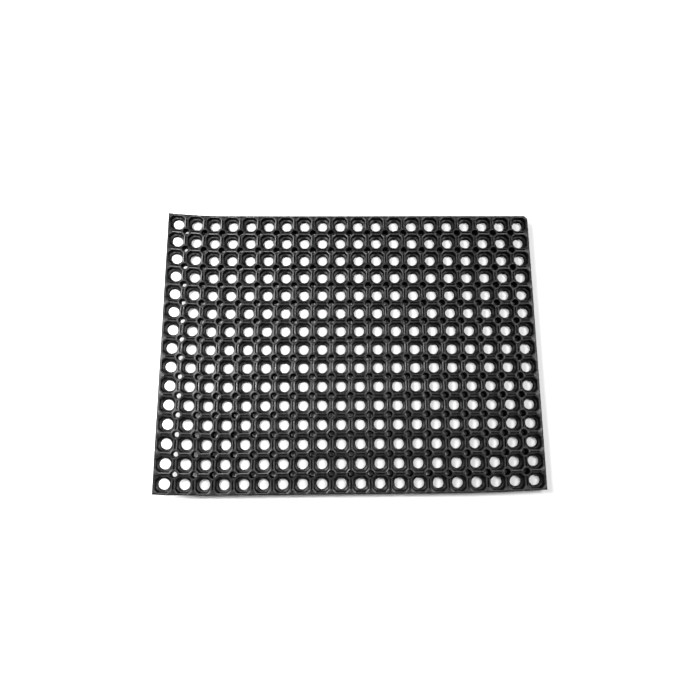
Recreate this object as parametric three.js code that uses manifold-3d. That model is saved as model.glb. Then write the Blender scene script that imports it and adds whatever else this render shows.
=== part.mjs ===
// A moulded rubber ring mat for a doorway: a slab of octagonal cups, each drained by a round hole,
// with a small round hole wherever four cups meet. The mat is one moulding. It is divided here along
// the moulded grooves between its rows of cups, the lines along which such a mat is cut to size, so
// that each row is a solid of its own.
//
// Millimetres. +X runs along the rows, +Y from the first row to the last, +Z up. The origin is the
// middle of the underside.

import * as THREE from 'three';
import { mergeVertices } from 'three/addons/utils/BufferGeometryUtils.js';
import Module from 'manifold-3d';

// Driving dimensions of the mat.
const COLUMNS = 20;
const ROWS = 15;
const PITCH = 30; // between the middles of neighbouring cups
const EDGE_MARGIN = 15; // from the middle of an outer cup to the mat's edge
const THICKNESS = 16;

// Driving dimensions of one cup and of the holes round it.
const WEB_WIDTH = 6.2; // top of the wall between two cups, side to side
const DRAIN_WIDTH = 17.2; // drain hole at the underside, across flats
const CORNER_HOLE_TOP = 10; // small hole between four cups, across corners, at the top
const CORNER_HOLE_BOTTOM = 7; // the same at the underside
const CORNER_WALL = 2.7; // between a small hole and the chamfered corner of a cup

// Between one row and the next.
const ROW_GAP = 0.3;

// How far a cutter stands out of the slab, above and below.
const OVERRUN = 1;

const CORNER_HOLE_SIDES = 6;
const SQUARE_SIDES = 4;
const EIGHTH_TURN = Math.PI / 4;

const matWidth = (COLUMNS - 1) * PITCH + 2 * EDGE_MARGIN;
const cupFlat = (PITCH - WEB_WIDTH) / 2;
const cupChamfer = PITCH / Math.SQRT2 - CORNER_HOLE_TOP / 2 - CORNER_WALL;
const drainFlat = DRAIN_WIDTH / 2;

const wasm = await Module();
wasm.setup();

const rubber = new THREE.MeshStandardMaterial({ color: 0x2a2b2c, roughness: 0.55, metalness: 0 });

function toSolid(geometry) {
  geometry.deleteAttribute('normal');
  geometry.deleteAttribute('uv');
  const merged = mergeVertices(geometry, 1e-4);
  const mesh = new wasm.Mesh({
    numProp: 3,
    vertProperties: new Float32Array(merged.attributes.position.array),
    triVerts: new Uint32Array(merged.index.array),
  });
  return new wasm.Manifold(mesh);
}

function toGeometry(solid) {
  const { vertProperties, triVerts } = solid.getMesh();
  const geometry = new THREE.BufferGeometry();
  geometry.setAttribute('position', new THREE.BufferAttribute(vertProperties, 3));
  geometry.setIndex(new THREE.BufferAttribute(triVerts, 1));
  geometry.computeVertexNormals();
  return geometry;
}

// A tapered prism that passes right through the slab. Its radii to the corners are true at the
// slab's two faces.
function taperedCutter(sides, bottomRadius, topRadius, turn) {
  const flare = ((topRadius - bottomRadius) / THICKNESS) * OVERRUN;
  const height = THICKNESS + 2 * OVERRUN;
  const prism = new THREE.CylinderGeometry(topRadius + flare, bottomRadius - flare, height, sides);
  prism.rotateX(Math.PI / 2);
  prism.rotateZ(turn);
  prism.translate(0, 0, THICKNESS / 2);
  return toSolid(prism);
}

// The cup and its drain as one funnel: a square funnel with its four corners cut off by a second
// one, turned by an eighth, so that the top is a square with chamfers and the drain an even octagon.
function cupCutter() {
  const square = taperedCutter(
    SQUARE_SIDES, drainFlat * Math.SQRT2, cupFlat * Math.SQRT2, EIGHTH_TURN,
  );
  const diamond = taperedCutter(
    SQUARE_SIDES, drainFlat * Math.SQRT2, cupChamfer * Math.SQRT2, 0,
  );
  return square.intersect(diamond);
}

// Half of each of these holes lies in one row and half in the next. Two of its corners are on the
// line between them.
function cornerHoleCutter() {
  const halfSide = Math.PI / CORNER_HOLE_SIDES;
  return taperedCutter(
    CORNER_HOLE_SIDES, CORNER_HOLE_BOTTOM / 2, CORNER_HOLE_TOP / 2, halfSide,
  );
}

// One row of cups, with its middle at y = 0. The first row has the mat's plain edge in front and
// the last row has it behind.
function rowGeometry(isFirst, isLast) {
  const halfRow = (PITCH - ROW_GAP) / 2;
  const front = isFirst ? -EDGE_MARGIN : -halfRow;
  const back = isLast ? EDGE_MARGIN : halfRow;
  const blank = new THREE.BoxGeometry(matWidth, back - front, THICKNESS);
  blank.translate(0, (front + back) / 2, THICKNESS / 2);
  let row = toSolid(blank);

  const cup = cupCutter();
  for (let column = 0; column < COLUMNS; column += 1) {
    const x = (column - (COLUMNS - 1) / 2) * PITCH;
    row = row.subtract(cup.translate([x, 0, 0]));
  }

  const cornerHole = cornerHoleCutter();
  for (let gap = 1; gap < COLUMNS; gap += 1) {
    const x = (gap - COLUMNS / 2) * PITCH;
    if (!isFirst) row = row.subtract(cornerHole.translate([x, -PITCH / 2, 0]));
    if (!isLast) row = row.subtract(cornerHole.translate([x, PITCH / 2, 0]));
  }
  return toGeometry(row);
}

function buildMat() {
  const mat = new THREE.Group();
  const firstRow = rowGeometry(true, false);
  const innerRow = rowGeometry(false, false);
  const lastRow = rowGeometry(false, true);
  for (let number = 1; number <= ROWS; number += 1) {
    let geometry = innerRow;
    if (number === 1) geometry = firstRow;
    if (number === ROWS) geometry = lastRow;
    const row = new THREE.Mesh(geometry, rubber.clone());
    row.name = `cell_row_${String(number).padStart(2, '0')}`;
    row.position.y = (number - (ROWS + 1) / 2) * PITCH;
    mat.add(row);
  }
  return mat;
}

export default buildMat();
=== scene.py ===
"""A moulded rubber ring mat on a plain pale floor.

The mat is one moulding. The CAD model holds it as rows of cups, and each row is replaced here by a
detailed one: chamfered square cups with a bevelled rim and a round foot, a shelf and a conical
drain, grooves between the rims, tapered tubes where four cups meet, and an underside recessed
round each drain, which leaves straight webs to stand on. The rows meet exactly on the middle of
the grooves between them.

Cups are modelled in millimetres round their own middle, placed in the frame, and then settled: the
left edge curls up, the back right corner is nipped off, and the sheet lies slightly uneven, as a
rubber sheet does.
"""

import math

import bmesh
import bpy
import numpy as np
from mathutils import Matrix, Vector


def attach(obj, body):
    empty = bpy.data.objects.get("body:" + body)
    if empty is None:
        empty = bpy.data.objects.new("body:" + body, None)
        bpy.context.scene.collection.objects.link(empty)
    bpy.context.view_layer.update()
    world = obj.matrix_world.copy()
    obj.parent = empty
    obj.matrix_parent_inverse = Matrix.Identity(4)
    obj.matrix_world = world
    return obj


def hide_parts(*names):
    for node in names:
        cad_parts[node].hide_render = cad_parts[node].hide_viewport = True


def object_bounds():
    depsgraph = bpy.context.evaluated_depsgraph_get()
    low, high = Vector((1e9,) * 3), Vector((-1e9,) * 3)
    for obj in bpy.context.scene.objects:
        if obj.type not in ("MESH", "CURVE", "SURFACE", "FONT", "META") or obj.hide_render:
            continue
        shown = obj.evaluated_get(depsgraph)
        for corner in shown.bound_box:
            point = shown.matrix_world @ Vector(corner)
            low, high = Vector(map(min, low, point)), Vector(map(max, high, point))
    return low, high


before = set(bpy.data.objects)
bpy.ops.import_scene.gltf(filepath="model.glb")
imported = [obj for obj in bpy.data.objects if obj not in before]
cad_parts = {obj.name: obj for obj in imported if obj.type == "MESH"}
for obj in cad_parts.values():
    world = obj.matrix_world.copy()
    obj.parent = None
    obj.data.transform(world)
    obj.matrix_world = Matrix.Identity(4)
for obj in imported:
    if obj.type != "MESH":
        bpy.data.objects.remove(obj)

CAD_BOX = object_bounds()

# ---------------------------------------------------------------------------------------------
# Sizes of the mat, in metres, from the frame
# ---------------------------------------------------------------------------------------------

ROW_NODES = sorted(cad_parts)
ROWS = len(ROW_NODES)
MAT_LOW, MAT_HIGH = (Vector(corner) for corner in CAD_BOX)
PITCH = (MAT_HIGH.y - MAT_LOW.y) / ROWS
COLUMNS = round((MAT_HIGH.x - MAT_LOW.x) / PITCH)

# ---------------------------------------------------------------------------------------------
# Sizes of one cup, in millimetres, with its middle at 0, 0 and the underside at 0
# ---------------------------------------------------------------------------------------------

MM = 0.001
HALF = PITCH / MM / 2  # from the middle of a cup to the middle of the groove round it
TOP = MAT_HIGH.z / MM

DRAIN_TOP_RADIUS = 9.1
DRAIN_BOTTOM_RADIUS = 8.0
SHELF_INNER_Z = 7.8  # height of the shelf at the drain
SHELF_OUTER_Z = 8.1  # and where it meets the foot of the cup's wall
MOUTH_FLAT = 11.9  # from the middle to the flats of the cup's mouth
MOUTH_CHAMFER = 13.5  # and to its four chamfered corners
MOUTH_CORNER_RADIUS = 2.0
BEVEL_WIDTH = 1.0  # the rim falls gently towards the mouth,
BEVEL_DROP = 0.36  # by this much
FOOT_FLAT = 11.4  # the mouth's sizes again at the foot of the wall, where it is nearly round
FOOT_CHAMFER = 12.2
FOOT_CORNER_RADIUS = 6.0
FOOT_HOLLOW = 1.5  # the wall meets the shelf in a hollow this much larger than the rounded edges

GROOVE_HALF_WIDTH = 1.05
GROOVE_DEPTH = 3.6
GROOVE_HALF_LENGTH = 6.9
GROOVE_END = 0.4  # length of the slope at each end of a groove
LIP_START = 0.5  # a groove's lip rounds over from here, and through here, as shares of EDGE_ROUND
LIP_MIDDLE = 0.1

TUBE_TOP_RADIUS = 5.0
TUBE_BOTTOM_RADIUS = 3.6

EDGE_ROUND = 0.65  # radius of the rounded moulded edges
ROUND_SHARE = 0.3  # a rounded edge's middle lies this share of its radius in from each face,
EDGE_MIDDLE = ROUND_SHARE * EDGE_ROUND  # which is this far

UPPER_STEP = 0.7  # tall walls have two loops more, to keep their faces short, at these shares of
TUBE_LOWER_STEP = 0.5  # the whole height
SIDE_LOWER_STEP = 0.4

RELIEF_TOP = 3.4  # height of the recess moulded into the underside, round each drain
RELIEF_FLAT = 12.2
RELIEF_CHAMFER = 13.2
RELIEF_CORNER_RADIUS = 2.0

BORDER_LINE = 1.5  # from the mat's outer side to the line moulded along it
BORDER_LINE_HALF_WIDTH = 0.4
BORDER_LINE_SLOPE = 0.4  # the line's flat foot, and the round of each lip, as shares of that
BORDER_LINE_DEPTH = 1.1


# ---------------------------------------------------------------------------------------------
# One cup
#
# A cup is eight mirrored octants. In an octant, a runs outwards to the side of the cup's tile and b
# along it, and eleven rays fan out from the middle of the side (ray 0) to the diagonal (ray 10).
# Each loop round the cup is eleven points (a, b, z), one on each ray.
# ---------------------------------------------------------------------------------------------

RAYS = 11
GROOVE_LAST = 3  # the last ray that ends in the groove
HOLE_FIRST = 6  # the first ray that ends in a corner hole


def loop(a, b, z):
    """The points of one loop. Each of a, b and z is one number or one for each ray."""
    points = np.empty((RAYS, 3))
    points[:, 0] = a
    points[:, 1] = b
    points[:, 2] = z
    return points


def circle_loop(radius, z):
    angles = np.linspace(0, math.pi / 4, RAYS)
    return loop(radius * np.cos(angles), radius * np.sin(angles), z)


def octagon_loop(flat, chamfer, radius, z):
    """A square with chamfered corners: rays 0 to 3 end on the flat, 3 to 6 on the rounded corner
    and 6 to 10 on the chamfer."""
    corner_b = chamfer * math.sqrt(2) - flat
    tangent = radius * math.tan(math.pi / 8)
    straight = corner_b - tangent
    flat_b = np.linspace(0, straight, GROOVE_LAST + 1)
    turn = np.linspace(0, math.pi / 4, HOLE_FIRST - GROOVE_LAST + 1)[1:]
    round_a = flat - radius * (1 - np.cos(turn))
    round_b = straight + radius * np.sin(turn)
    middle = chamfer / math.sqrt(2)
    share = np.linspace(0, 1, RAYS - HOLE_FIRST)[1:]
    chamfer_a = round_a[-1] + share * (middle - round_a[-1])
    chamfer_b = round_b[-1] + share * (middle - round_b[-1])
    a = np.concatenate([np.full(GROOVE_LAST + 1, flat), round_a, chamfer_a])
    b = np.concatenate([flat_b, round_b, chamfer_b])
    return loop(a, b, z)


def cup_loops():
    """From the drain's lower edge, up the drain, over the shelf and up the wall to the rim."""
    r = EDGE_ROUND

    def foot(back, z):
        return octagon_loop(FOOT_FLAT - back, FOOT_CHAMFER - back, FOOT_CORNER_RADIUS - back, z)

    def mouth(out, z):
        return octagon_loop(MOUTH_FLAT + out, MOUTH_CHAMFER + out, MOUTH_CORNER_RADIUS + out, z)

    return [
        circle_loop(DRAIN_BOTTOM_RADIUS + r, RELIEF_TOP),
        circle_loop(DRAIN_BOTTOM_RADIUS + EDGE_MIDDLE, RELIEF_TOP + EDGE_MIDDLE),
        circle_loop(DRAIN_BOTTOM_RADIUS, RELIEF_TOP + r),
        circle_loop(DRAIN_TOP_RADIUS, SHELF_INNER_Z - r),
        circle_loop(DRAIN_TOP_RADIUS + EDGE_MIDDLE, SHELF_INNER_Z - EDGE_MIDDLE),
        circle_loop(DRAIN_TOP_RADIUS + r, SHELF_INNER_Z),
        foot(FOOT_HOLLOW * r, SHELF_OUTER_Z),
        foot(0.4 * r, SHELF_OUTER_Z + 0.5 * r),  # the middle of the hollow
        foot(0, SHELF_OUTER_Z + FOOT_HOLLOW * r),
        mouth(0, TOP - BEVEL_DROP - r),
        mouth(EDGE_MIDDLE, TOP - BEVEL_DROP - EDGE_MIDDLE),
        mouth(r, TOP - BEVEL_DROP),
        mouth(r + BEVEL_WIDTH, TOP),
    ]


def groove_points():
    """The rim's outer edge and the groove, for rays 0 to 5, as five loops of (a, b, z)."""
    r = EDGE_ROUND
    lip = HALF - GROOVE_HALF_WIDTH
    floor_z = TOP - GROOVE_DEPTH
    across = [lip - LIP_START * r, lip - LIP_MIDDLE * r, lip, lip + EDGE_MIDDLE, HALF]
    height = [TOP, TOP - EDGE_MIDDLE, TOP - r, floor_z + EDGE_MIDDLE, floor_z]
    along = np.linspace(0, GROOVE_HALF_LENGTH, GROOVE_LAST + 1)
    end_b = GROOVE_HALF_LENGTH + GROOVE_END
    web_b = (end_b + HALF - TUBE_TOP_RADIUS) / 2
    loops = []
    for a, z in zip(across, height):
        points = [(a, b, z) for b in along]
        rounding = ROUND_SHARE * GROOVE_END * (HALF - a) / GROOVE_HALF_WIDTH
        points.append((a, end_b - rounding, TOP))
        points.append((HALF, web_b, TOP))
        loops.append(points)
    return loops


def tube_radius(z):
    """The corner hole's radius at a height."""
    share = (z - RELIEF_TOP) / (TOP - RELIEF_TOP)
    return TUBE_BOTTOM_RADIUS + share * (TUBE_TOP_RADIUS - TUBE_BOTTOM_RADIUS)


def tube_point(radius, angle, z):
    """A point round the corner hole. The angle runs from the tile's side to the diagonal."""
    return (HALF - radius * math.sin(angle), HALF - radius * math.cos(angle), z)


def tube_loops():
    """The corner hole, for rays 6 to 10: five loops from the top down and three at its foot."""
    r = EDGE_ROUND
    profile = [
        (tube_radius(TOP) + r, TOP),
        (tube_radius(TOP) + EDGE_MIDDLE, TOP - EDGE_MIDDLE),
        (tube_radius(TOP - r), TOP - r),
        (tube_radius(UPPER_STEP * TOP), UPPER_STEP * TOP),
        (tube_radius(TUBE_LOWER_STEP * TOP), TUBE_LOWER_STEP * TOP),
        (tube_radius(RELIEF_TOP + r), RELIEF_TOP + r),
        (TUBE_BOTTOM_RADIUS + EDGE_MIDDLE, RELIEF_TOP + EDGE_MIDDLE),
        (TUBE_BOTTOM_RADIUS + r, RELIEF_TOP),
    ]
    angles = np.linspace(0, math.pi / 4, RAYS - HOLE_FIRST)
    return [[tube_point(radius, angle, z) for angle in angles] for radius, z in profile]


def side_profile():
    """The mat's plain outer side, as (set back, height), in the same eight steps as a tube."""
    r = EDGE_ROUND
    return [
        (r, TOP),
        (EDGE_MIDDLE, TOP - EDGE_MIDDLE),
        (0, TOP - r),
        (0, UPPER_STEP * TOP),
        (0, SIDE_LOWER_STEP * TOP),
        (0, r),
        (EDGE_MIDDLE, EDGE_MIDDLE),
        (r, 0),
    ]


def border_line_loops(border):
    """The line moulded into the rim beside the mat's outer side, for rays 0 to 3. From ray 6 on, the
    loops lie on the border's first loop, where they make no faces."""
    middle = HALF - BORDER_LINE
    w = BORDER_LINE_HALF_WIDTH
    d = BORDER_LINE_DEPTH
    wide = 1 + BORDER_LINE_SLOPE
    half_across = [wide * w, w, BORDER_LINE_SLOPE * w]
    half_depth = [0, ROUND_SHARE * d, d]
    across = [middle - step for step in half_across] + [middle + step for step in half_across[::-1]]
    depth = half_depth + half_depth[::-1]
    end_b = GROOVE_HALF_LENGTH + GROOVE_END
    loops = []
    for a, sink in zip(across, depth):
        points = border.copy()
        points[:GROOVE_LAST + 1] = [
            (a, b, TOP - sink) for b in np.linspace(0, GROOVE_HALF_LENGTH, GROOVE_LAST + 1)
        ]
        points[GROOVE_LAST + 1] = (a, end_b, TOP)
        points[GROOVE_LAST + 2] = (a, (end_b + border[HOLE_FIRST, 1]) / 2, TOP)
        loops.append(points)
    return loops


def rim_loops(kind):
    """The loops from the rim to the tile's border, and down to the underside where the border is a
    wall. kind is open (a corner hole), seam (beside the mat's edge), edge (the mat's outer side)
    or corner (the outer side where two of them meet)."""
    outer = []
    if kind in ("edge", "corner"):
        for back, z in side_profile():
            b = np.linspace(0, HALF, RAYS)
            a = HALF - back
            if kind == "corner":
                b[-1] = a
            outer.append(loop(a, b, z))
        return outer
    grooves = groove_points()
    tubes = tube_loops()
    solid_b = np.linspace(HALF - TUBE_TOP_RADIUS, HALF, RAYS - HOLE_FIRST)
    for step, (back, z) in enumerate(side_profile()):
        inner = grooves[min(step, len(grooves) - 1)]
        if kind == "open":
            rest = tubes[step]
        else:
            rest = [(HALF, b, TOP) for b in solid_b[:-1]] + [(HALF, HALF - back, z)]
        outer.append(np.array(inner + rest))
    return outer


def underside_loops(kind):
    """From the drain outwards, over the recess round it, to the border's last loop. The recess
    runs on round the corner holes, so that the mat stands on the straight webs between cups."""
    r = EDGE_ROUND

    def relief(out, z):
        return octagon_loop(RELIEF_FLAT + out, RELIEF_CHAMFER + out, RELIEF_CORNER_RADIUS + out, z)

    loops = [
        circle_loop(DRAIN_BOTTOM_RADIUS + r, RELIEF_TOP),
        relief(-r, RELIEF_TOP),
        relief(0, r),
        relief(r, 0),
    ]
    border = rim_loops(kind)[-1].copy()
    if kind in ("open", "seam"):
        along = groove_points()[-1]
        border[:HOLE_FIRST] = [(HALF, point[1], 0) for point in along]
    if kind == "open":
        border[HOLE_FIRST - 1, 2] = RELIEF_TOP
        for points in loops:
            points[HOLE_FIRST - 1:, 2] = RELIEF_TOP
    if kind == "seam":
        border[HOLE_FIRST:, 0] = HALF
        border[HOLE_FIRST:, 2] = 0
    loops.append(border)
    return loops


TOP_BORDER_LOOPS = 5  # of a border's loops, those that belong to the top
TINY = 1e-6


def octant_quads(kind):
    """All the faces of an octant, each as four points, some of which may be the same. A face that
    lies in the border between two tiles is left out."""
    border = rim_loops(kind)
    line = border_line_loops(border[0]) if kind in ("edge", "corner") else []
    top = cup_loops() + line + border[:TOP_BORDER_LOOPS]
    wall = border[TOP_BORDER_LOOPS - 1:]
    quads = []

    def add_band(inner, outer, first_ray, flip):
        for ray in range(first_ray, RAYS - 1):
            quad = [inner[ray], inner[ray + 1], outer[ray + 1], outer[ray]]
            if kind in ("open", "seam") and all(point[0] > HALF - TINY for point in quad):
                continue
            quads.append(quad[::-1] if flip else quad)

    for inner, outer in zip(top, top[1:]):
        add_band(inner, outer, 0, True)
    if kind != "seam":
        first = HOLE_FIRST if kind == "open" else 0
        for inner, outer in zip(wall, wall[1:]):
            add_band(inner, outer, first, True)
    below = underside_loops(kind)
    for inner, outer in zip(below, below[1:]):
        add_band(inner, outer, 0, False)
    return quads


SIDES = {"right": (1, 0), "back": (0, 1), "left": (-1, 0), "front": (0, -1)}
NEIGHBOURS = {
    "right": ("front", "back"),
    "back": ("left", "right"),
    "left": ("front", "back"),
    "front": ("left", "right"),
}


def tile_quads(edges):
    """The quads of a whole cup, as an array of (number, 4, 3). edges holds those of left, right,
    front and back that are the mat's outer sides."""
    result = []
    for side, (out_x, out_y) in SIDES.items():
        for other in NEIGHBOURS[side]:
            if side in edges:
                kind = "corner" if other in edges else "edge"
            else:
                kind = "seam" if other in edges else "open"
            along_x, along_y = SIDES[other]
            quads = np.array(octant_quads(kind))
            placed = np.empty_like(quads)
            placed[..., 0] = quads[..., 0] * out_x + quads[..., 1] * along_x
            placed[..., 1] = quads[..., 0] * out_y + quads[..., 1] * along_y
            placed[..., 2] = quads[..., 2]
            mirrored = out_x * along_y - out_y * along_x < 0
            result.append(placed[:, ::-1] if mirrored else placed)
    return np.concatenate(result)


# ---------------------------------------------------------------------------------------------
# The sheet's settled shape
# ---------------------------------------------------------------------------------------------

CURL_WIDTH = 0.085  # how far in from the left edge the sheet starts to curl up
CURL_FRONT_HEIGHT = 0.0087
CURL_BACK_HEIGHT = 0.0050
CURL_POWER = 1.5
CURL_SHIFT = 0.0031  # the curled edge also lies this much further back
RISE_WIDTH = 0.21  # a much slighter lift reaches further in
RISE_HEIGHT = 0.0011
FRONT_RIGHT_PULL = 0.004  # the front right corner lies a little further back than a true rectangle
PULL_START_X = 0.5  # the pull starts at these shares of the way from the middle to the right side
PULL_START_Y = 0.2  # and to the front
NIP = 0.0055  # what is missing from the back right corner, along each side
UNEVEN_HEIGHT = 0.0004
UNEVEN_WAVE_X = (19, -1.2)  # frequency and phase
UNEVEN_WAVE_Y = (23, 0.4)
WAVER = 0.00012  # how far the moulded lines stray sideways
WAVER_MARGIN = 0.008  # but the outer sides are straight
WAVER_IN_X = (410, 2.1, 95)  # frequency along y, and the swing and frequency that bend its crests
WAVER_IN_Y = (370, 1.7, 110)  # the same along x


def outer_distance(points):
    """How far in from the mat's nearest outer side each point is."""
    return (np.array([MAT_HIGH.x, MAT_HIGH.y]) - abs(points[:, :2])).min(axis=1)


def bent_wave(along, across, frequency, swing, bend_frequency):
    """A wave from -1 to 1 that runs one way, with crests that bend the other way."""
    return np.sin(frequency * along + swing * np.sin(bend_frequency * across))


def settle(points):
    """Moves points of the flat mat, in metres, to where they lie."""
    x, y, z = points.T
    over = np.clip(x - MAT_HIGH.x + y - MAT_HIGH.y + NIP, 0, None) / 2
    waver = WAVER * np.clip(outer_distance(points) / WAVER_MARGIN, 0, 1)
    x = x - over + waver * bent_wave(y, x, *WAVER_IN_X)
    y = y - over + waver * bent_wave(x, y, *WAVER_IN_Y)

    to_front = (MAT_HIGH.y - y) / (MAT_HIGH.y - MAT_LOW.y)
    height = CURL_BACK_HEIGHT + (CURL_FRONT_HEIGHT - CURL_BACK_HEIGHT) * to_front
    into_curl = np.clip((MAT_LOW.x + CURL_WIDTH - x) / CURL_WIDTH, 0, 1)
    into_rise = np.clip((MAT_LOW.x + RISE_WIDTH - x) / RISE_WIDTH, 0, 1)
    lift = height * into_curl ** CURL_POWER + RISE_HEIGHT * into_rise ** 2
    curl_slope = CURL_POWER * height * into_curl ** (CURL_POWER - 1) / CURL_WIDTH
    rise_slope = 2 * RISE_HEIGHT * into_rise / RISE_WIDTH
    lean = np.arctan(curl_slope + rise_slope)

    right = np.clip((x / MAT_HIGH.x - PULL_START_X) / (1 - PULL_START_X), 0, 1) ** 2
    front = np.clip((y / MAT_LOW.y - PULL_START_Y) / (1 - PULL_START_Y), 0, 1) ** 2
    wave_x = np.sin(UNEVEN_WAVE_X[0] * x + UNEVEN_WAVE_X[1])
    wave_y = np.cos(UNEVEN_WAVE_Y[0] * y + UNEVEN_WAVE_Y[1])
    uneven = UNEVEN_HEIGHT * (1 + wave_x * wave_y) / 2
    moved = np.empty_like(points)
    moved[:, 0] = x + z * np.sin(lean)
    moved[:, 1] = y + FRONT_RIGHT_PULL * right * front + CURL_SHIFT * into_curl ** CURL_POWER
    moved[:, 2] = z * np.cos(lean) + lift + uneven
    return moved


# ---------------------------------------------------------------------------------------------
# Rows
# ---------------------------------------------------------------------------------------------

MERGE = 0.00001  # points in the same cell of a grid this fine become one
HEIGHT_NAME = "height_share"  # of each point, from 0 at the underside to 1 at the tread
OUTER_SIDE_SHARE = 0.925  # what the outer sides have instead: just below the tread, which gives them about half the painted shade and a middle shine
HOLE_NAME = "hole_share"  # 1 on the walls of the corner holes, where painted shade goes, and 0 elsewhere
SHARP_ANGLE = math.radians(35)


def height_share(points):
    """The outer sides all count as just below the tread, so that they get about half the painted
    shade rather than the dark painted shade of the depths.
    """
    outside = outer_distance(points) < EDGE_ROUND * MM + MERGE
    return np.where(outside, OUTER_SIDE_SHARE, points[:, 2] / MAT_HIGH.z)


def hole_share(points):
    """1 for a point on a corner hole's wall, from the middle of its rounded rim down, and 0 for any
    other. The limits lie between the rim's first loop and its second."""
    offset = points[:, :2] - np.array([MAT_LOW.x, MAT_LOW.y])
    offset -= PITCH * np.round(offset / PITCH)
    distance = np.hypot(offset[:, 0], offset[:, 1])
    inside = (TUBE_TOP_RADIUS + 0.5 * EDGE_ROUND) * MM - distance
    below = (TOP - 0.2 * EDGE_ROUND) * MM - points[:, 2]
    within = outer_distance(points) - TUBE_TOP_RADIUS * MM
    return ((inside > 0) & (below > 0) & (within > 0)).astype(float)


def middle_place(index, count):
    """Where the middle of a row or a column lies."""
    return (index - (count - 1) / 2) * PITCH


def row_quads(row):
    """The quads of one row of cups, in metres, while the mat is still flat."""
    row_edges = set()
    if row == 0:
        row_edges.add("front")
    if row == ROWS - 1:
        row_edges.add("back")
    quads = []
    for column in range(COLUMNS):
        edges = set(row_edges)
        if column == 0:
            edges.add("left")
        if column == COLUMNS - 1:
            edges.add("right")
        place = np.array([middle_place(column, COLUMNS), middle_place(row, ROWS), 0])
        quads.append(tile_quads(edges) * MM + place)
    return np.concatenate(quads)


def joined(quads):
    """Points and faces, with equal points made one and faces of fewer than three left out."""
    corners = quads.reshape(-1, 3)
    keys = np.round(corners / MERGE).astype(np.int64)
    _, first, index = np.unique(keys, axis=0, return_index=True, return_inverse=True)
    faces = []
    for face in index.reshape(-1, 4).tolist():
        kept = list(dict.fromkeys(face))
        if len(kept) > 2:
            faces.append(kept)
    return corners[first], faces


def close(mesh):
    """Fills the flat sides of a row, where it meets the rows beside it."""
    build = bmesh.new()
    build.from_mesh(mesh)
    open_edges = [edge for edge in build.edges if len(edge.link_faces) == 1]
    bmesh.ops.edgeloop_fill(build, edges=open_edges)
    bmesh.ops.recalc_face_normals(build, faces=build.faces)
    build.to_mesh(mesh)
    build.free()


def row_mesh(name, row, material):
    """One row of cups as a closed mesh."""
    points, faces = joined(row_quads(row))
    mesh = bpy.data.meshes.new(name)
    mesh.from_pydata(points.tolist(), [], faces)
    close(mesh)

    flat = np.empty(len(mesh.vertices) * 3)
    mesh.vertices.foreach_get("co", flat)
    flat = flat.reshape(-1, 3)
    for attribute_name, values in (
        (HEIGHT_NAME, height_share(flat)),
        (HOLE_NAME, hole_share(flat)),
    ):
        attribute = mesh.attributes.new(attribute_name, "FLOAT", "POINT")
        attribute.data.foreach_set("value", values)
    mesh.vertices.foreach_set("co", settle(flat).ravel())
    mesh.materials.append(material)
    mesh.shade_smooth()
    mesh.set_sharp_from_angle(angle=SHARP_ANGLE)
    mesh.update()
    return mesh


# ---------------------------------------------------------------------------------------------
# Materials
# ---------------------------------------------------------------------------------------------


def add_node(tree, kind, inputs=None, **settings):
    """A new node. inputs maps a socket's name or number to a constant or to a socket to link."""
    node = tree.nodes.new(kind)
    for name, value in settings.items():
        setattr(node, name, value)
    for name, value in (inputs or {}).items():
        if isinstance(value, bpy.types.NodeSocket):
            tree.links.new(value, node.inputs[name])
        else:
            node.inputs[name].default_value = value
    return node


def mixed(tree, factor, first, second, blend="MIX"):
    """Two colours mixed, or blended in another way, as far as the factor says."""
    inputs = {0: factor, 6: first, 7: second}
    node = add_node(tree, "ShaderNodeMix", inputs, data_type="RGBA", blend_type=blend)
    return node.outputs[2]


def mapped(tree, value, low, high, to_low, to_high):
    """The value moved from the range low to high to another, and kept within that."""
    inputs = {
        "Value": value, "From Min": low, "From Max": high, "To Min": to_low, "To Max": to_high,
    }
    return add_node(tree, "ShaderNodeMapRange", inputs).outputs["Result"]


def calculated(tree, operation, first, second):
    return add_node(tree, "ShaderNodeMath", {0: first, 1: second}, operation=operation).outputs[0]


def ramped(tree, value, stops):
    """A grey ramp through stops, each a place and a level."""
    node = add_node(tree, "ShaderNodeValToRGB", {0: value})
    elements = node.color_ramp.elements
    while len(elements) < len(stops):
        elements.new(0.5)
    for element, (place, level) in zip(elements, stops):
        element.position = place
        element.color = (level, level, level, 1)
    return node.outputs["Color"]


def noise(tree, place, scale, detail, roughness):
    inputs = {"Vector": place, "Scale": scale, "Detail": detail, "Roughness": roughness}
    return add_node(tree, "ShaderNodeTexNoise", inputs).outputs["Fac"]


def bumped(tree, height, strength, distance, normal=None):
    """A bump, on top of the normal if one is given."""
    inputs = {"Height": height, "Strength": strength, "Distance": distance}
    if normal is not None:
        inputs["Normal"] = normal
    return add_node(tree, "ShaderNodeBump", inputs).outputs["Normal"]


def grey(level, blue=0):
    """An opaque grey, with a little blue if any is given."""
    return (level, level, level + blue, 1)


GRAIN = (1500, 4, 0.65)  # a noise's scale, detail and roughness
MOTTLE = (240, 5, 0.55)
PATCHES = (16, 4, 0.55)
PEBBLE_SCALE = 1100
MOTTLE_BUMP = (0.35, 0.0004)  # a bump's strength and height
PEBBLE_BUMP = (0.3, 0.00015)
GRAIN_BUMP = (0.3, 0.0001)

STAIN_RANGE = (0.8, 1.2)  # the rubber is stained lighter as mottle and patches together pass this
WEAR_RANGE = (0.35, 0.65)  # worn more as the mottle passes this
LEAST_WEAR = 0.25
UPWARD_RANGE = (0.7, 1.0)  # dusty where the normal's upward part passes this
DUST_RANGE = (1.02, 1.3)  # and as grain and mottle together pass this
ROUGH_RANGE = (0.3, 0.7)  # and rougher as the mottle passes this

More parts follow.
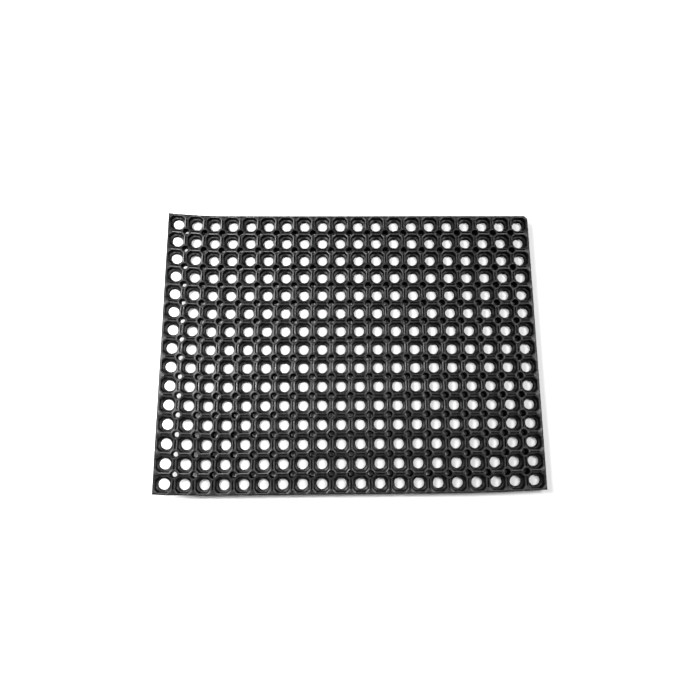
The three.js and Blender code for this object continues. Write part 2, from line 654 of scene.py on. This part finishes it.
DARK_RUBBER = grey(0.0022, 0.0002)
LIGHT_RUBBER = grey(0.0055, 0.0002)
# Paler rubber for the rims: partly real wear, partly a painted highlight along the bevels.
WORN_AND_HIGHLIT_RUBBER = grey(0.0110, 0.0003)
# Painted shade: the corner holes' walls are made nearly black, for the deep shade inside them.
HOLE_PAINTED_SHADE = grey(0.0006)
DUST = (0.065, 0.064, 0.061, 1)
MOST_DUST = 0.25
LEFT_TINT = (0.93, 1.02, 1.05, 1)
RIGHT_TINT = (1.05, 0.99, 0.98, 1)

LOW_ROUGHNESS = 0.28
HIGH_ROUGHNESS = 0.42
RUBBED_SMOOTHER = 0.06  # how much roughness rubbing takes away
DUST_ROUGHER = 0.5  # and how much dust adds
HOLE_SHINE = 0.1  # of the shine that the same depth has elsewhere

# Ramps over the height share, each a list of places and levels. The first is painted shade: the
# colour darkens on the walls and shelf down in the cups and on the underside, and a painted
# highlight lightens the bevel round each mouth against a darker flat tread. The second is how much
# it shines. The third is how worn it is, peaking on the bevels, partly real wear and partly a
# painted highlight there. The shelf lies at about 0.5 and the tread at 1.
DEPTH_SHADE_AND_BEVEL_HIGHLIGHT = [(0.40, 0.25), (0.50, 0.25), (0.60, 0.15), (0.90, 0.15), (0.96, 1.0), (1.0, 0.8)]
SHINE = [
    (0.42, 0.04), (0.48, 0.14), (0.51, 0.14), (0.58, 0.03), (0.91, 0.03), (0.96, 0.22),
    (0.99, 0.22), (1.0, 0.13),
]
WEAR_AND_BEVEL_HIGHLIGHT = [(0.955, 0), (0.975, 1.0), (0.99, 1.0), (1.0, 0.4)]


def rubber_material():
    """Black moulded rubber: a fine pebbled grain, mottled, dusty where it faces up, and worn paler
    and smoother on the rims. Painted shade darkens it down in the cups and paints the corner holes'
    walls nearly black, and a painted highlight lightens the bevels round the mouths along with the
    wear."""
    material = bpy.data.materials.new("black_rubber")
    material.use_nodes = True
    tree = material.node_tree
    shader = tree.nodes["Principled BSDF"]
    place = add_node(tree, "ShaderNodeTexCoord").outputs["Object"]
    grain = noise(tree, place, *GRAIN)
    mottle = noise(tree, place, *MOTTLE)
    patches = noise(tree, place, *PATCHES)
    cells = add_node(tree, "ShaderNodeTexVoronoi", {"Vector": place, "Scale": PEBBLE_SCALE})
    pebbles = cells.outputs["Distance"]
    height = add_node(tree, "ShaderNodeAttribute", attribute_name=HEIGHT_NAME).outputs["Fac"]
    hole = add_node(tree, "ShaderNodeAttribute", attribute_name=HOLE_NAME).outputs["Fac"]
    normal = add_node(tree, "ShaderNodeNewGeometry").outputs["Normal"]
    facing_up = add_node(tree, "ShaderNodeSeparateXYZ", {0: normal}).outputs["Z"]
    across = add_node(tree, "ShaderNodeSeparateXYZ", {0: place}).outputs["X"]

    stain = mapped(tree, calculated(tree, "ADD", mottle, patches), *STAIN_RANGE, 0, 1)
    colour = mixed(tree, stain, DARK_RUBBER, LIGHT_RUBBER)
    to_right = mapped(tree, across, MAT_LOW.x, MAT_HIGH.x, 0, 1)
    tint = mixed(tree, to_right, LEFT_TINT, RIGHT_TINT)
    colour = mixed(tree, 1.0, colour, tint, "MULTIPLY")
    # Painted shade: darker down in the cups and on the underside, with a painted highlight on the
    # bevel round each mouth.
    colour = mixed(tree, 1.0, colour, ramped(tree, height, DEPTH_SHADE_AND_BEVEL_HIGHLIGHT), "MULTIPLY")

    wear = mapped(tree, mottle, *WEAR_RANGE, LEAST_WEAR, 1)
    # Paler on the rims: partly real wear, and partly a painted highlight where the ramp peaks on the
    # bevels.
    wear_and_highlight = calculated(tree, "MULTIPLY", ramped(tree, height, WEAR_AND_BEVEL_HIGHLIGHT), wear)
    colour = mixed(tree, wear_and_highlight, colour, WORN_AND_HIGHLIT_RUBBER)

    upward = mapped(tree, facing_up, *UPWARD_RANGE, 0, 1)
    specks = mapped(tree, calculated(tree, "ADD", grain, mottle), *DUST_RANGE, 0, MOST_DUST)
    dust = calculated(tree, "MULTIPLY", upward, specks)
    colour = mixed(tree, dust, colour, DUST)
    # Painted shade: the corner holes' walls are painted nearly black, for the deep shade inside
    # them.
    colour = mixed(tree, hole, colour, HOLE_PAINTED_SHADE)
    tree.links.new(colour, shader.inputs["Base Color"])

    rough = mapped(tree, mottle, *ROUGH_RANGE, LOW_ROUGHNESS, HIGH_ROUGHNESS)
    smoother = calculated(tree, "MULTIPLY", wear_and_highlight, RUBBED_SMOOTHER)
    rougher = calculated(tree, "MULTIPLY", dust, DUST_ROUGHER)
    rough = calculated(tree, "SUBTRACT", rough, smoother)
    rough = calculated(tree, "ADD", rough, rougher)
    tree.links.new(rough, shader.inputs["Roughness"])

    shine = ramped(tree, height, SHINE)
    shine = calculated(tree, "MULTIPLY", shine, mapped(tree, hole, 0, 1, 1, HOLE_SHINE))
    tree.links.new(shine, shader.inputs["Specular IOR Level"])

    bump = bumped(tree, mottle, *MOTTLE_BUMP)
    bump = bumped(tree, pebbles, *PEBBLE_BUMP, bump)
    bump = bumped(tree, grain, *GRAIN_BUMP, bump)
    tree.links.new(bump, shader.inputs["Normal"])
    return material


def build_mat():
    rubber = rubber_material()
    for row, node in enumerate(ROW_NODES):
        name = f"ring_row_{row + 1:02d}"
        piece = bpy.data.objects.new(name, row_mesh(name, row, rubber))
        bpy.context.scene.collection.objects.link(piece)
        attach(piece, "root")
        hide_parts(node)


# ---------------------------------------------------------------------------------------------
# Floor, light and camera
# ---------------------------------------------------------------------------------------------

FLOOR_SIZE = 14.0
FLOOR_ROUGHNESS = 0.9
FLOOR_NEAR = 0.45  # out to here, from the middle of the mat, the floor has its own colour
FLOOR_FAR = 1.30  # and from here on the paler one that makes up for the lamps being far off
FLOOR_COLOUR = (0.56, 0.56, 0.56, 1)
FLOOR_FAR_COLOUR = (0.95, 0.95, 0.95, 1)

CAMERA_AZIMUTH = math.radians(-5.39)
CAMERA_ELEVATION = math.radians(80.11)
CAMERA_ROLL = math.radians(-5.02)
CAMERA_DISTANCE = 0.791
CAMERA_TARGET = Vector((0, -0.0007, 0.004))
CAMERA_LENS = 25.12
CAMERA_SENSOR = 36.0


def build_floor():
    """A plain floor, which the lamps raise to white in the picture, painted paler further out as
    painted light, to make up for the lamps being far off.
    """
    bpy.ops.mesh.primitive_plane_add(size=FLOOR_SIZE, location=(0, 0, 0))
    floor = bpy.context.object
    floor.name = "floor"
    material = bpy.data.materials.new("pale_floor")
    material.use_nodes = True
    tree = material.node_tree
    shader = tree.nodes["Principled BSDF"]
    place = add_node(tree, "ShaderNodeTexCoord").outputs["Object"]
    distance = add_node(tree, "ShaderNodeVectorMath", {0: place}, operation="LENGTH")
    far = mapped(tree, distance.outputs["Value"], FLOOR_NEAR, FLOOR_FAR, 0, 1)
    tree.links.new(mixed(tree, far, FLOOR_COLOUR, FLOOR_FAR_COLOUR), shader.inputs["Base Color"])
    shader.inputs["Roughness"].default_value = FLOOR_ROUGHNESS
    floor.data.materials.append(material)


WALL_COLOUR = (0.80, 0.80, 0.81, 1)  # the studio is pale all round and dim overhead
CEILING_COLOUR = (0.20, 0.20, 0.20, 1)
WALL_TOP = 0.2  # how far up a direction points, from 0 to 1, where the walls start to dim
CEILING_START = 0.6  # and where they have become the ceiling
LAMPS = {  # place, width and power
    "low_left": (Vector((-1.10, 0.10, 0.185)), 0.2, 54),
    "near_left": (Vector((-0.36, 0.07, 0.70)), 0.22, 9),
    "left_softbox": (Vector((-1.45, 0.85, 1.00)), 0.9, 66),
    "right_softbox": (Vector((0.78, 0.18, 1.50)), 0.7, 32),
}


def build_light():
    """Soft light from all round, and four round lamps that face the middle of the mat."""
    world = bpy.data.worlds.new("studio")
    world.use_nodes = True
    tree = world.node_tree
    direction = add_node(tree, "ShaderNodeTexCoord").outputs["Generated"]
    rise = add_node(tree, "ShaderNodeSeparateXYZ", {0: direction}).outputs["Z"]
    high = mapped(tree, rise, WALL_TOP, CEILING_START, 0, 1)
    colour = mixed(tree, high, WALL_COLOUR, CEILING_COLOUR)
    tree.links.new(colour, tree.nodes["Background"].inputs["Color"])
    bpy.context.scene.world = world

    for name, (place, width, power) in LAMPS.items():
        data = bpy.data.lights.new(name, "AREA")
        data.shape = "DISK"
        data.size = width
        data.energy = power
        lamp = bpy.data.objects.new(name, data)
        lamp.location = place
        lamp.rotation_euler = (-place).to_track_quat("-Z", "Y").to_euler()
        bpy.context.scene.collection.objects.link(lamp)


def build_camera():
    """Almost straight above the mat, and turned a little."""
    data = bpy.data.cameras.new("camera")
    data.lens = CAMERA_LENS
    data.sensor_width = CAMERA_SENSOR
    camera = bpy.data.objects.new("camera", data)
    bpy.context.scene.collection.objects.link(camera)
    level = math.cos(CAMERA_ELEVATION)
    back = Vector((
        math.sin(CAMERA_AZIMUTH) * level,
        -math.cos(CAMERA_AZIMUTH) * level,
        math.sin(CAMERA_ELEVATION),
    ))
    right = Vector((math.cos(CAMERA_AZIMUTH), math.sin(CAMERA_AZIMUTH), 0))
    up = back.cross(right)
    turned_right = math.cos(CAMERA_ROLL) * right - math.sin(CAMERA_ROLL) * up
    turned_up = back.cross(turned_right)
    place = Matrix((turned_right, turned_up, back)).transposed().to_4x4()
    place.translation = CAMERA_TARGET + CAMERA_DISTANCE * back
    camera.matrix_world = place
    bpy.context.scene.camera = camera


build_camera()
build_mat()
build_floor()
build_light()
bpy.context.scene.view_settings.view_transform = "Standard"
